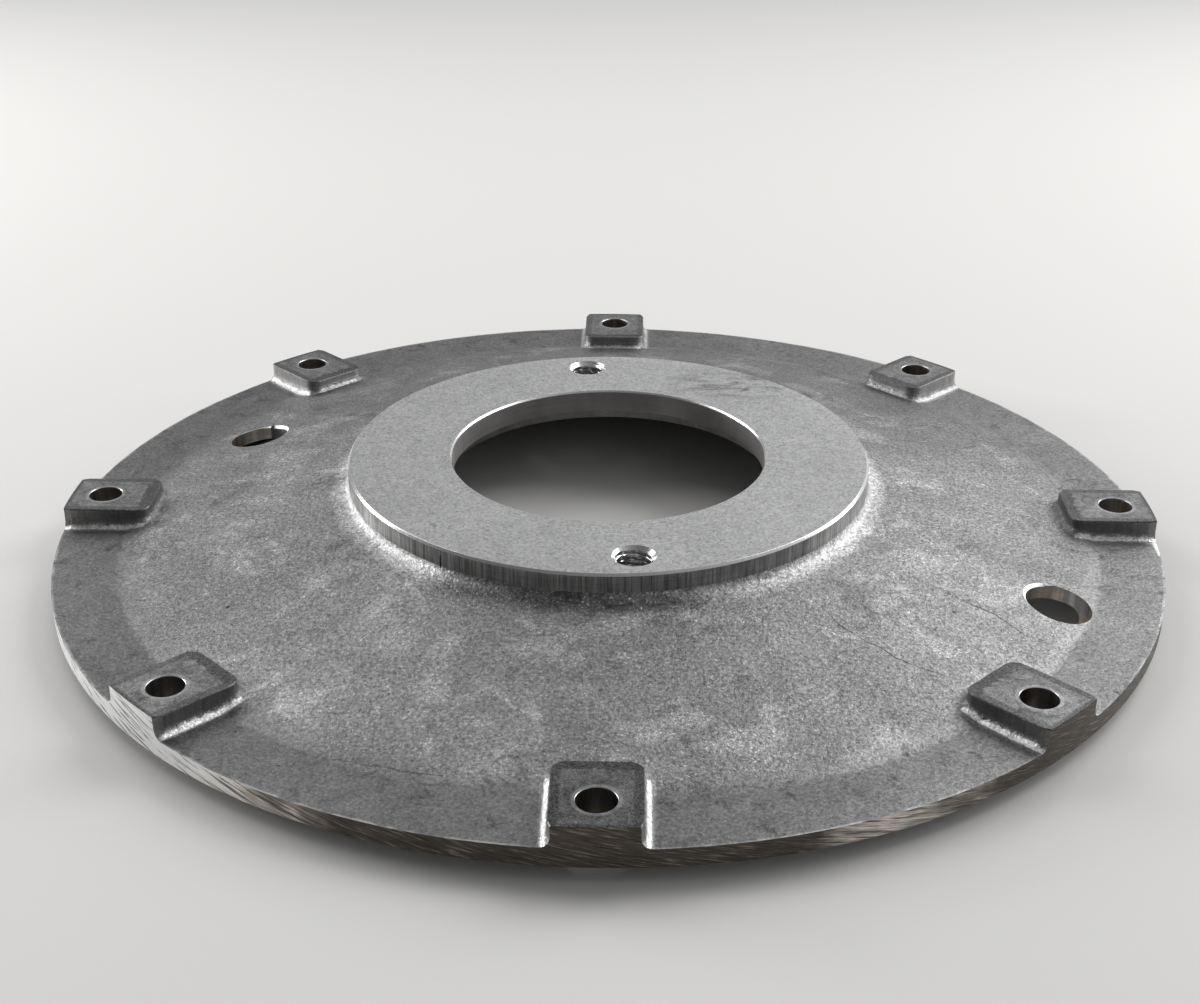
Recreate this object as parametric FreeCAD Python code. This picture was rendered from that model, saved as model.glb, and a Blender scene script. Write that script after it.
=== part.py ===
import FreeCAD, Part

import math
import os

# Mounting flange between an engine housing and a hydraulic pump: one aluminium casting, machined.
# Millimetres and degrees. Z is the shaft axis, and points from the housing towards the pump.
# The origin is the centre of the register's lower face, which is the lowest face of the part.

# Rim, which lies on the engine housing
rim_diameter = 355.6
rim_thickness = 5.4
rim_overhang = 20.65

# Register, the ring under the rim that centres the flange in the housing
register_height = 4.8
register_wall = 3.2
register_lead = 0.8

# Bolt pads on the rim, cast with the flange and faced on top
pad_count = 8
pad_height = 6.6
pad_width = 23.8
pad_inner_reach = 16.7
pad_corner_radius = 4.0
pad_fillet = 3.0
pad_turning_allowance = 1.2
housing_bolt_hole = 10.7
housing_bolt_edge_distance = 11.1125

# Dish, the thin cone that carries the hub
dish_wall = 4.6
dish_rise = 15.9
dish_foot_overhang = 1.0
dish_foot_blend = 9.0
dish_root_chamfer = 2.4
hub_root_fillet = 3.0

# Hub, the faced ring that carries the pump
bore_diameter = 101.6
bore_land_height = 7.5
bore_edge_break = 0.5
relief_step = 3.2
hub_side_height = 8.4
hub_thickness = 11.3
hub_edge_break = 0.7
pump_bolt_hole = 12.0
pump_bolt_count = 2
pump_bolt_bore_distance = 22.225
pump_bolt_edge_distance = 11.125
pump_bolt_angle = -83.15
pump_bolt_countersink = 13.2

# Plain holes drilled through the dish, each between two pads
drilled_hole = 20.0
drilled_hole_angles = (-23.2, 157.5)
drilled_hole_insets = (8.9, 20.85)
drilled_hole_lip = 1.0

# Room that a cutting tool takes beyond the metal
tool_clearance = 5.0

# Radii and heights that follow
rim_radius = rim_diameter / 2
register_radius = rim_radius - rim_overhang
register_inner_radius = register_radius - register_wall
dish_foot_radius = register_radius + dish_foot_overhang
housing_bolt_radius = rim_radius - housing_bolt_edge_distance
bore_radius = bore_diameter / 2
relief_radius = bore_radius + relief_step
pump_bolt_radius = bore_radius + pump_bolt_bore_distance
hub_radius = pump_bolt_radius + pump_bolt_edge_distance
cast_pad_end = rim_radius + pad_turning_allowance
stock_radius = cast_pad_end + 2 * pad_fillet + tool_clearance

rim_bottom = register_height
rim_top = rim_bottom + rim_thickness
pad_top = rim_top + pad_height
hub_root = rim_top + dish_rise
hub_top = hub_root + hub_side_height
hub_bottom = hub_top - hub_thickness
land_bottom = hub_top - bore_land_height

dish_slope = dish_rise / (dish_foot_radius - hub_radius)
dish_wall_upright = dish_wall * math.hypot(1, dish_slope)


def dish_top_at(radius):
    """Height of the dish's upper face at a radius."""
    return rim_top + (dish_foot_radius - radius) * dish_slope


def dish_underside_at(radius):
    """Height of the dish's lower face at a radius."""
    return dish_top_at(radius) - dish_wall_upright


def dish_underside_radius(height):
    """Radius at which the dish's lower face reaches a height."""
    return dish_foot_radius - (height + dish_wall_upright - rim_top) / dish_slope


def on_axis_plane(radius, height):
    return FreeCAD.Vector(radius, 0, height)


def at_angle(radius, angle, height):
    turn = math.radians(angle)
    return FreeCAD.Vector(radius * math.cos(turn), radius * math.sin(turn), height)


def rounded_wire(corners):
    """Closed wire through corners given as (point, rounding radius)."""
    count = len(corners)
    starts = []
    ends = []
    edges = []
    for index in range(count):
        point, radius = corners[index]
        before = (corners[index - 1][0] - point).normalize()
        after = (corners[(index + 1) % count][0] - point).normalize()
        if radius == 0:
            starts.append(point)
            ends.append(point)
            continue
        half_angle = before.getAngle(after) / 2
        tangent_length = radius / math.tan(half_angle)
        start = point + before * tangent_length
        end = point + after * tangent_length
        bisector = (before + after).normalize()
        middle = point + bisector * (radius / math.sin(half_angle) - radius)
        starts.append(start)
        ends.append(end)
        edges.append(Part.Arc(start, middle, end).toShape())
    for index in range(count):
        leave = ends[index]
        arrive = starts[(index + 1) % count]
        edges.append(Part.makeLine(leave, arrive))
    return Part.Wire(Part.__sortEdges__(edges))


def full_turn(corners):
    """Solid of revolution about the shaft axis."""
    face = Part.Face(rounded_wire(corners))
    return face.revolve(FreeCAD.Vector(0, 0, 0), FreeCAD.Vector(0, 0, 1), 360)


def turned_about_axis(shape, angle):
    return shape.rotated(FreeCAD.Vector(0, 0, 0), FreeCAD.Vector(0, 0, 1), angle)


def pad_angle(index):
    return index * 360 / pad_count


def around_the_rim(shape):
    """Copies of a shape at every pad."""
    return [turned_about_axis(shape, pad_angle(index)) for index in range(pad_count)]


def outer_form():
    """Outside of hub, dish, rim and register, still filled inside and with stock on the rim."""
    return full_turn([
        (on_axis_plane(0, hub_top), 0),
        (on_axis_plane(hub_radius - hub_edge_break, hub_top), 0),
        (on_axis_plane(hub_radius, hub_top - hub_edge_break), 0),
        (on_axis_plane(hub_radius, hub_root), hub_root_fillet),
        (on_axis_plane(dish_foot_radius, rim_top), dish_foot_blend),
        (on_axis_plane(stock_radius, rim_top), 0),
        (on_axis_plane(stock_radius, rim_bottom), 0),
        (on_axis_plane(register_radius, rim_bottom), 0),
        (on_axis_plane(register_radius, register_lead), 0),
        (on_axis_plane(register_radius - register_lead, 0), 0),
        (on_axis_plane(0, 0), 0),
    ])


def pad():
    """One bolt pad on the X axis, rounded at its inner end and running out past the rim."""
    inner = housing_bolt_radius - pad_inner_reach
    outer = cast_pad_end + pad_fillet
    half_width = pad_width / 2
    foot = rim_top - rim_thickness / 2
    outline = rounded_wire([
        (FreeCAD.Vector(inner, -half_width, foot), pad_corner_radius),
        (FreeCAD.Vector(outer, -half_width, foot), 0),
        (FreeCAD.Vector(outer, half_width, foot), 0),
        (FreeCAD.Vector(inner, half_width, foot), pad_corner_radius),
    ])
    return Part.Face(outline).extrude(FreeCAD.Vector(0, 0, pad_top - foot))


def pad_outer_corners():
    """What the cast rounding takes off the outer end of the pad on the X axis, above its foot."""
    foot = rim_top + pad_fillet / 2
    height = pad_height + tool_clearance
    reach = cast_pad_end - pad_corner_radius
    half_width = pad_width / 2
    length = stock_radius - reach
    side = half_width + pad_fillet
    arc = half_width - pad_corner_radius
    around = Part.makeBox(length, 2 * side, height, FreeCAD.Vector(reach, -side, foot))
    middle = Part.makeBox(length, 2 * arc, height, FreeCAD.Vector(reach, -arc, foot))
    left = Part.makeCylinder(pad_corner_radius, height, FreeCAD.Vector(reach, arc, foot))
    right = Part.makeCylinder(pad_corner_radius, height, FreeCAD.Vector(reach, -arc, foot))
    return around.cut([middle, left, right])


def is_pad_foot(edge):
    """True for the edges where a pad's wall meets the rim or the dish."""
    box = edge.BoundBox
    inner = housing_bolt_radius - pad_inner_reach
    beside_pad = box.DiagonalLength < 2 * pad_width
    at_pad = math.hypot(box.Center.x, box.Center.y) > inner - pad_corner_radius
    above_rim = box.ZMin > rim_top - rim_thickness / 2
    below_pad_top = box.ZMax < pad_top - pad_height / 4
    return beside_pad and at_pad and above_rim and below_pad_top


def cast_blank():
    """The casting's outside before machining, with the pads blended in at their feet."""
    blank = turned_about_axis(outer_form(), pad_angle(1) / 2)
    blank = blank.fuse(around_the_rim(pad()))
    feet = [edge for edge in blank.Edges if is_pad_foot(edge)]
    blended = blank.makeFillet(pad_fillet, feet)
    return blended.cut(around_the_rim(pad_outer_corners()))


def hollow():
    """The cored underside with the relief and the bore above it."""
    below = -tool_clearance
    above = hub_top + tool_clearance
    chamfer_radius = register_inner_radius - dish_root_chamfer
    chamfer_height = dish_underside_at(register_inner_radius) - dish_root_chamfer
    return full_turn([
        (on_axis_plane(0, below), 0),
        (on_axis_plane(register_inner_radius, below), 0),
        (on_axis_plane(register_inner_radius, chamfer_height), 0),
        (on_axis_plane(chamfer_radius, dish_underside_at(chamfer_radius)), 0),
        (on_axis_plane(dish_underside_radius(hub_bottom), hub_bottom), 0),
        (on_axis_plane(relief_radius, hub_bottom), 0),
        (on_axis_plane(relief_radius, land_bottom), 0),
        (on_axis_plane(bore_radius, land_bottom), 0),
        (on_axis_plane(bore_radius, hub_top - bore_edge_break), 0),
        (on_axis_plane(bore_radius + bore_edge_break, hub_top), 0),
        (on_axis_plane(bore_radius + bore_edge_break, above), 0),
        (on_axis_plane(0, above), 0),
    ])


def rim_turning():
    """Everything inside the turned edge of the rim."""
    return Part.makeCylinder(rim_radius, hub_top + tool_clearance)


def housing_bolt_holes():
    """Plain holes through the pads."""
    holes = []
    for index in range(pad_count):
        foot = at_angle(housing_bolt_radius, pad_angle(index), 0)
        holes.append(Part.makeCylinder(housing_bolt_hole / 2, pad_top + tool_clearance, foot))
    return holes


def pump_bolt_holes():
    """Countersunk tapped holes through the hub, at the thread's outer radius."""
    hole_radius = pump_bolt_hole / 2
    sink_depth = pump_bolt_countersink / 2 - hole_radius
    length = hub_thickness + 2 * tool_clearance
    holes = []
    for index in range(pump_bolt_count):
        angle = pump_bolt_angle + index * 360 / pump_bolt_count
        foot = at_angle(pump_bolt_radius, angle, hub_bottom - tool_clearance)
        sink = at_angle(pump_bolt_radius, angle, hub_top - sink_depth)
        holes.append(Part.makeCylinder(hole_radius, length, foot))
        holes.append(Part.makeCone(hole_radius, hole_radius + 2 * sink_depth, 2 * sink_depth, sink))
    return holes


def drilled_holes():
    """Upright holes through the sloping dish, with a lip cut on the uphill side only."""
    hole_radius = drilled_hole / 2
    length = hub_top + 2 * tool_clearance
    holes = []
    for angle, inset in zip(drilled_hole_angles, drilled_hole_insets):
        distance = register_radius - inset
        uphill = dish_top_at(distance - hole_radius)
        foot = at_angle(distance, angle, -tool_clearance)
        lip = at_angle(distance, angle, uphill - drilled_hole_lip)
        holes.append(Part.makeCylinder(hole_radius, length, foot))
        holes.append(Part.makeCone(hole_radius, hole_radius + 2 * drilled_hole_lip, 2 * drilled_hole_lip, lip))
    return holes


def mounting_flange():
    """The finished flange."""
    machined = cast_blank().common(rim_turning()).cut(hollow())
    return machined.cut(housing_bolt_holes() + pump_bolt_holes() + drilled_holes())


def main():
    os.makedirs("parts", exist_ok=True)
    flange = mounting_flange()
    flange.exportStep("parts/mounting_flange.step")


main()
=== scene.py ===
import math
import random

import bmesh
import bpy
import numpy as np
from mathutils import Matrix, Vector, noise


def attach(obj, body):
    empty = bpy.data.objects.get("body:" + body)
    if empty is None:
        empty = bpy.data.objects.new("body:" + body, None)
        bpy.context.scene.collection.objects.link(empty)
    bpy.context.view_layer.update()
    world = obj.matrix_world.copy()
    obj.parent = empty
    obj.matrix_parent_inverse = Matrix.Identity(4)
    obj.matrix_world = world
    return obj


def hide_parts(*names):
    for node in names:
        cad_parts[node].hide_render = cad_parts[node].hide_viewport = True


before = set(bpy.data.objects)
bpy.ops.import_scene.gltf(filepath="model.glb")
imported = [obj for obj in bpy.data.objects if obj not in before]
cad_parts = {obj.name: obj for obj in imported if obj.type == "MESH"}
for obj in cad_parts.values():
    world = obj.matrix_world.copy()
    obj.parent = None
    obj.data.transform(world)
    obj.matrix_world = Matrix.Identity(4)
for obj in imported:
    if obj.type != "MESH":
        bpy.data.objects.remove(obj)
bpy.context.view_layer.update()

# Sizes of the CAD model that the looks follow, in metres
MM = 0.001
RIM_RADIUS = 177.8 * MM
RIM_BOTTOM = 4.8 * MM
RIM_TOP = 10.2 * MM
PAD_TOP = 16.8 * MM
PAD_HALF_WIDTH = 11.9 * MM
PAD_INNER = 149.99 * MM
PAD_FILLET = 3.0 * MM
PAD_CORNER = 4.0 * MM
PAD_COUNT = 8
PAD_PITCH = 360 / PAD_COUNT
CAST_PAD_END = 179.0 * MM
HOUSING_BOLT_CIRCLE = 166.6875 * MM
HOUSING_BOLT_RADIUS = 5.35 * MM
DISH_FOOT_RADIUS = 158.15 * MM
DISH_FOOT_BLEND = 9.0 * MM
REGISTER_RADIUS = 157.15 * MM
REGISTER_INNER = 153.95 * MM
REGISTER_LEAD = 0.8 * MM
UNDERSIDE_EDGE = 6.4 * MM
UNDERSIDE_EDGE_ROUNDING = 3.5 * MM
UNDERSIDE_INNER = 75.8 * MM
UNDERSIDE_INNER_ROUNDING = 8.0 * MM
RELIEF_RADIUS = 54.0 * MM
LAND_BOTTOM = 27.0 * MM
HUB_ROOT_FILLET = 3.0 * MM
HUB_EDGE_BREAK = 0.7 * MM
HUB_RADIUS = 84.15 * MM
HUB_ROOT = 26.1 * MM
HUB_TOP = 34.5 * MM
HUB_BOTTOM = 23.2 * MM
BORE_RADIUS = 50.8 * MM
BORE_EDGE_BREAK = 0.5 * MM
TAPPED_CIRCLE = 73.025 * MM
TAPPED_ANGLES = (-83.15, 96.85)
TAPPED_RADIUS = 6.0 * MM
TAPPED_SINK = 6.6 * MM
THREAD_PITCH = 1.75 * MM
THREAD_CREST = 5.06 * MM
DRILLED_RADIUS = 10.0 * MM
DRILLED_HOLES = ((148.25 * MM, -23.2), (136.3 * MM, 157.5))

# Lips scraped along the drilled holes' edges: degrees about the hole's middle, and width in mm
RIGHT_LIP = (
    (208, 0.05),
    (195, 0.25),
    (180, 0.45),
    (157, 0.68),
    (135, 0.78),
    (115, 0.75),
    (104, 0.7),
    (103, 0.4),
    (96, 0.32),
    (88, 0.08),
)
LEFT_LIP = ((-8, 0.06), (8, 0.3), (25, 0.68), (40, 0.85), (55, 0.85), (66, 0.8), (71, 0.72))
LEFT_LIP_END = ((76, 0.34), (82, 0.5), (88, 0.42), (96, 0.18), (112, 0.1), (140, 0.05))
# The nick that parts the left hole's lip: degrees about the hole's middle, and half its width
NICK_DEGREES = 73.6
NICK_HALF_WIDTH = 0.3 * MM
# The gap behind the thin end of the right hole's lip: its section in mm, and where it starts and ends
LIP_GAP = ((0.46, 0.5), (1.15, 0.5), (0.6, -0.5))
LIP_GAP_SPAN = (103.0, 88.0)

# Creases of the cast skin, through (distance from the axis in mm, degrees) stations
CREASES = (
    ((91.5, -51.2), (109.9, -52.2), (131.9, -49.5), (143.5, -46.3)),
    ((117.6, -32.2), (135.0, -31.6), (148.0, -33.0)),
    ((93.9, -131.9), (120.0, -128.5), (147.0, -125.4)),
    ((158.6, -117.0), (155.6, -109.2), (154.4, -104.0)),
    ((97.0, -95.5), (108.0, -93.0), (118.0, -92.2)),
    ((96.0, 172.0), (118.0, 176.0), (137.0, 174.0)),
    ((100.0, 31.0), (121.0, 28.0), (145.0, 31.5)),
    ((99.0, 118.0), (125.0, 121.0)),
)
CREASE_WIDTH = 0.66 * MM
CREASE_DEPTH = 0.19 * MM
CREASE_STEP = 4.5 * MM
# The large pits: distance from the axis in mm, degrees and radius in mm; the rest are strewn
LARGE_PITS = ((132.3, -146.7, 0.75), (162.0, -126.9, 0.6), (166.8, -119.7, 0.6), (145.0, -98.3, 0.4))
PIT_COUNT = 26
PIT_RING = (95, 172)
PIT_SIZES = (0.25, 0.5)
PIT_SPACING = 16
PIT_TO_CREASE = 8
PIT_TO_PAD_DEGREES = 8
PIT_PAD_ZONE = 140
# The crack in the hub's side: degrees, foot, height and depth
CRACK_DEGREES = -124.6
CRACK_FOOT = 27.9 * MM
CRACK_HEIGHT = 4.4 * MM
CRACK_DEPTH = 1.1 * MM
# Frosted spots of the cast skin: distance from the axis, degrees and reach
FROSTED_PATCHES = (
    (98 * MM, -94.5, 5.5 * MM),
    (109 * MM, -94.0, 6 * MM),
    (120 * MM, -93.5, 5 * MM),
    (112.5 * MM, -120.0, 10 * MM),
    (126.8 * MM, -111.0, 8 * MM),
    (152.8 * MM, -59.0, 9 * MM),
    (106.9 * MM, -27.0, 10 * MM),
    (98.0 * MM, 24.0, 9 * MM),
    (108.0 * MM, 172.0, 8 * MM),
)
SEED = 7
SHARP_ANGLE = 17.5
# Points round each turned, drilled, tapped or pitted surface
BODY_SECTORS = 576
TURNED_EDGE_SECTORS = 1152
DRILLED_SECTORS = 144
BOLT_SECTORS = 72
TAPPED_SECTORS = 64
PIT_SECTORS = 9
# Heights in mm of the turned edge's rows of points
TURNED_EDGE_ROWS = (-3.0, 1.0, 3.5, 6.5, 8.5, 12.0, 15.0, 20.0, 40.0)

# Camera: place in metres, turns in degrees, and lens in mm
CAMERA_PLACE = (0.00754, -0.51665, 0.2702)
CAMERA_TURNS = (("Z", 1.127), ("X", -26.205), ("Y", -0.156))
CAMERA_LENS = 52.29
# Lamps: place, aim, width and height in metres, and power in watts
LAMPS = {
    "left_lamp": ((-0.84, 0.56, 0.84), (0, 0, 0), (0.8, 1.0), 6.0),
    "right_lamp": ((0.84, 0.56, 0.84), (0, 0, 0), (0.8, 1.0), 9.3),
    "low_left_lamp": ((-1.15, 0.38, 0.24), (0, 0, 0.02), (0.5, 0.36), 8.0),
    "low_right_lamp": ((1.15, 0.38, 0.24), (0, 0, 0.02), (0.5, 0.36), 2.8),
}
# The sky's strength is the product of two ramps: direction from and to, strength from and to
SKY_RAMPS = (("Y", (-0.5, 1.0, 0.22, 0.66)), ("X", (-0.6, 0.6, 0.5, 1.5)))
SKY_COLOUR = (0.97, 0.98, 1.0, 1.0)
FLOOR_COLOUR = (0.72, 0.71, 0.69, 1.0)
FLOOR_ROUGHNESS = 0.7
FLOOR_HALF_WIDTH = 6.0


def at_angle(radius, degrees):
    turn = math.radians(degrees)
    return Vector((radius * math.cos(turn), radius * math.sin(turn), 0.0))


def dish_height(radius):
    """Height of the dish or rim surface at a radius."""
    slope = (HUB_ROOT - RIM_TOP) / (DISH_FOOT_RADIUS - HUB_RADIUS)
    return RIM_TOP + np.maximum(DISH_FOOT_RADIUS - radius, 0.0) * slope


def dish_height_at(point):
    return float(dish_height(math.hypot(point[0], point[1])))


def closed_mesh(name, vertices, faces):
    mesh = bpy.data.meshes.new(name)
    mesh.from_pydata([tuple(v) for v in vertices], [], faces)
    made = bmesh.new()
    made.from_mesh(mesh)
    bmesh.ops.recalc_face_normals(made, faces=made.faces)
    made.to_mesh(mesh)
    made.free()
    item = bpy.data.objects.new(name, mesh)
    bpy.context.scene.collection.objects.link(item)
    return item


def stacked_loops(name, loops):
    """Closed solid through loops of equal length, with a flat cap at each end."""
    size = len(loops[0])
    vertices = np.concatenate(loops)
    faces = []
    for row in range(len(loops) - 1):
        low = row * size
        for index in range(size):
            after = (index + 1) % size
            faces.append((low + index, low + after, low + size + after, low + size + index))
    faces.append(tuple(range(size)))
    faces.append(tuple(range(len(vertices) - size, len(vertices))))
    return closed_mesh(name, vertices, faces)


def rounded_profile(corners, arc_steps=5):
    """Radius and height points along a section whose corners are (radius, height, rounding, step)."""
    count = len(corners)
    points = []
    for index in range(count):
        r0, z0, rounding, _ = corners[index]
        corner = np.array((r0, z0))
        before = np.array(corners[index - 1][:2]) - corner
        after = np.array(corners[(index + 1) % count][:2]) - corner
        before /= np.linalg.norm(before)
        after /= np.linalg.norm(after)
        half = math.acos(np.clip(before @ after, -1, 1)) / 2
        reach = rounding / math.tan(half)
        start = corner + before * reach
        end = corner + after * reach
        if points:
            points += points_between(points[-1], start, corners[index - 1][3])
        bisector = (before + after) / np.linalg.norm(before + after)
        centre = corner + bisector * rounding / math.sin(half)
        points.append(start)
        if rounding:
            first = math.atan2(*(start - centre)[::-1])
            sweep = (math.atan2(*(end - centre)[::-1]) - first + math.pi) % (2 * math.pi) - math.pi
            for k in range(1, arc_steps):
                turn = first + sweep * k / arc_steps
                points.append(centre + rounding * np.array((math.cos(turn), math.sin(turn))))
            points.append(end)
    points += points_between(points[-1], points[0], corners[-1][3])
    return np.array(points)


def points_between(leave, arrive, step):
    """Points a step apart on a straight run, without its ends."""
    pieces = max(1, round(np.linalg.norm(arrive - leave) / step))
    return [leave + (arrive - leave) * k / pieces for k in range(1, pieces)]


def full_turn(name, profile, sectors):
    """Closed ring made by turning a section round the shaft axis."""
    turns = np.arange(sectors) * 2 * math.pi / sectors
    rings = len(profile)
    radius, height = profile.T
    east = np.outer(np.cos(turns), radius)
    north = np.outer(np.sin(turns), radius)
    vertices = np.stack([east, north, np.tile(height, (sectors, 1))], 2).reshape(-1, 3)
    faces = []
    for sector in range(sectors):
        low = sector * rings
        high = (sector + 1) % sectors * rings
        for ring in range(rings):
            after = (ring + 1) % rings
            faces.append((low + ring, high + ring, high + after, low + after))
    return closed_mesh(name, vertices, faces)


def circle(radius, height, steps, centre=(0.0, 0.0)):
    """Points round a centre, at one radius or at a radius for each point."""
    turns = np.arange(steps) * 2 * math.pi / steps
    east = centre[0] + radius * np.cos(turns)
    north = centre[1] + radius * np.sin(turns)
    return np.stack([east, north, np.full(steps, height)], 1)


def pad_outline():
    """Points and outward directions round a pad's wall, for the pad on the X axis."""
    corner_steps, side_steps = 6, 20
    inner, outer = PAD_INNER + PAD_CORNER, CAST_PAD_END - PAD_CORNER
    side = PAD_HALF_WIDTH - PAD_CORNER
    centres = ((outer, side), (inner, side), (inner, -side), (outer, -side))
    even = [step / corner_steps for step in range(corner_steps + 1)]
    facet = [0.0, 0.14, 0.28, 0.42, 0.57, 0.999, 1.0]
    facet_back = [1 - share for share in facet[::-1]]
    points, outward = [], []
    for quarter, (centre, shares) in enumerate(zip(centres, (facet, even, even, facet_back))):
        for share in shares:
            turn = (quarter + share) * math.pi / 2
            way = np.array((math.cos(turn), math.sin(turn)))
            points.append(np.array(centre) + PAD_CORNER * way)
            outward.append(way)
        following = centres[(quarter + 1) % 4]
        end = np.array(following) + PAD_CORNER * outward[-1]
        leave = points[-1]
        for step in range(1, side_steps):
            points.append(leave + (end - leave) * step / side_steps)
            outward.append(outward[-1])
    return np.array(points), np.array(outward)


def turned_to(loops, degrees):
    """Loops turned about the shaft axis."""
    turn = math.radians(degrees)
    matrix = np.array([[math.cos(turn), -math.sin(turn)], [math.sin(turn), math.cos(turn)]])
    for loop in loops:
        loop[:, :2] = loop[:, :2] @ matrix.T
    return loops


def pad_solid(index):
    """Bolt pad with the fillet at its foot following the dish and rim below it."""
    points, outward = pad_outline()
    fillet_steps = 6
    edge_break = 0.3 * MM
    foot = points + outward * (PAD_FILLET + 0.3 * MM)
    loops = [
        np.column_stack([foot, np.full(len(foot), RIM_TOP - 1.4 * MM)]),
        np.column_stack([foot, dish_height(np.hypot(*foot.T)) - 0.1 * MM]),
    ]
    for step in range(fillet_steps + 1):
        turn = math.pi / 2 * step / fillet_steps
        flat = points + outward * PAD_FILLET * (1 - math.sin(turn))
        height = dish_height(np.hypot(*flat.T)) + PAD_FILLET * (1 - math.cos(turn))
        loops.append(np.column_stack([flat, height]))
    low = dish_height(np.hypot(*points.T)) + PAD_FILLET
    for share in (0.5, 1.0):
        loops.append(np.column_stack([points, low + (PAD_TOP - edge_break - low) * share]))
    for inset in (edge_break, 1.2 * MM, 3.0 * MM):
        loops.append(np.column_stack([points - outward * inset, np.full(len(points), PAD_TOP)]))
    return stacked_loops(f"pad_{index}", turned_to(loops, index * PAD_PITCH))


def drill(name, centre, rows, steps):
    """Round cutter from (radius, height) rows."""
    return stacked_loops(name, [circle(radius, height, steps, centre) for radius, height in rows])


def tap(name, centre, turned):
    """Cutter for a threaded hole with its countersink: the wall follows the thread's ridges."""
    steps, rise = TAPPED_SECTORS, 0.19 * MM
    turns = np.arange(steps) * 2 * math.pi / steps
    loops = []
    for height in np.arange(HUB_BOTTOM - 1.0 * MM, HUB_TOP + 0.6 * MM, rise):
        phase = (height / THREAD_PITCH - turns / (2 * math.pi) + turned) % 1.0
        depth = np.clip(0.5 + 2.6 * (0.5 - np.abs(phase * 2 - 1.0)), 0.0, 1.0)
        thread = THREAD_CREST + (TAPPED_RADIUS - THREAD_CREST) * depth
        sink = TAPPED_SINK + height - HUB_TOP
        loops.append(circle(np.maximum(thread, sink), height, steps, centre))
    return stacked_loops(name, loops)


def groove(name, stations, chance):
    """Cutter for a fine wandering crease in the cast skin."""
    path = [np.array(at_angle(radius * MM, degrees)[:2]) for radius, degrees in stations]
    points = []
    for start, end in zip(path, path[1:]):
        pieces = max(2, round(np.linalg.norm(end - start) / CREASE_STEP))
        points += [start + (end - start) * k / pieces for k in range(pieces)]
    points.append(path[-1])
    points = np.array(points)
    points[1:-1] += [[chance.uniform(-0.5, 0.5) * MM for _ in range(2)] for _ in points[1:-1]]
    loops = []
    above = 0.12 * MM
    last = len(points) - 1
    for index, point in enumerate(points):
        along = points[min(index + 1, last)] - points[max(index - 1, 0)]
        along /= np.linalg.norm(along)
        across = np.array((-along[1], along[0]))
        swell = math.sin(math.pi * index / last) ** 0.5
        taper = max(0.25, swell) * chance.uniform(0.6, 1.0)
        deep = CREASE_DEPTH * taper
        half = CREASE_WIDTH / 2 * (deep + above) / deep * taper
        height = dish_height_at(point)
        loops.append(np.array([
            (*(point - across * half), height + above),
            (*(point + across * half), height + above),
            (*point, height - deep),
        ]))
    return stacked_loops(name, loops)


def pit_places(chance):
    """Every pit as (distance in mm, degrees, radius in mm); strewn ones avoid creases, holes and pads."""
    pits = list(LARGE_PITS)
    drilled = [(distance / MM, degrees) for distance, degrees in DRILLED_HOLES]
    stations = [station for crease in CREASES for station in crease]
    while len(pits) < PIT_COUNT:
        radius = chance.uniform(*PIT_RING)
        degrees = chance.uniform(-180, 180)
        here = at_angle(radius, degrees)
        taken = [pit[:2] for pit in pits] + drilled
        apart = all((here - at_angle(*middle)).length > PIT_SPACING for middle in taken)
        clear = all((here - at_angle(*station)).length > PIT_TO_CREASE for station in stations)
        from_pad = abs((degrees + PAD_PITCH / 2) % PAD_PITCH - PAD_PITCH / 2)
        near_pad = from_pad < PIT_TO_PAD_DEGREES and radius > PIT_PAD_ZONE
        if apart and clear and not near_pad:
            pits.append((radius, degrees, chance.uniform(*PIT_SIZES)))
    return pits


def pit_cutter(index, radius, degrees, wide):
    """Cutter for a pit that narrows downwards; distance and width are in mm."""
    height = dish_height_at(at_angle(radius * MM, degrees))
    shares = ((0.25, -0.7), (0.75, -0.4), (1.0, 0.0))
    rows = [(wide * across * MM, height + wide * rise * MM) for across, rise in shares]
    rows.append((wide * 1.3 * MM, height + 0.3 * MM))
    return drill(f"pit_{index}", at_angle(radius * MM, degrees), rows, PIT_SECTORS)


def crack_cutter():
    """Cutter for the crack in the hub's side."""
    loops = []
    outside = HUB_RADIUS + 0.4 * MM
    for share in (0.0, 0.3, 0.7, 1.0):
        height = CRACK_FOOT + share * CRACK_HEIGHT
        half = (0.2 + 0.26 * math.sin(math.pi * share)) * MM
        bottom = (HUB_RADIUS - CRACK_DEPTH, 0.1 * MM, height)
        loops.append(np.array([(outside, -half, height), (outside, half, height), bottom]))
    return stacked_loops("side_crack", turned_to(loops, CRACK_DEGREES))


def flaw_cutters():
    """Cutters for the casting's creases, pits and crack."""
    chance = random.Random(SEED)
    cutters = [groove(f"crease_{index}", crease, chance) for index, crease in enumerate(CREASES)]
    cutters += [pit_cutter(index, *place) for index, place in enumerate(pit_places(chance))]
    cutters.append(crack_cutter())
    return cutters


def mill_step(index, reach):
    """Cutter that leaves a low strip at a pad's inner end, where the milling stopped."""
    half = PAD_HALF_WIDTH + 1 * MM
    start, end = PAD_INNER - MM, PAD_INNER + reach
    corners = ((start, -half), (end, -half), (end, half), (start, half))
    heights = (PAD_TOP - 0.06 * MM, PAD_TOP + 2 * MM)
    loops = [np.array([(x, y, height) for x, y in corners]) for height in heights]
    return stacked_loops(f"step_{index}", turned_to(loops, index * PAD_PITCH))


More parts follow.
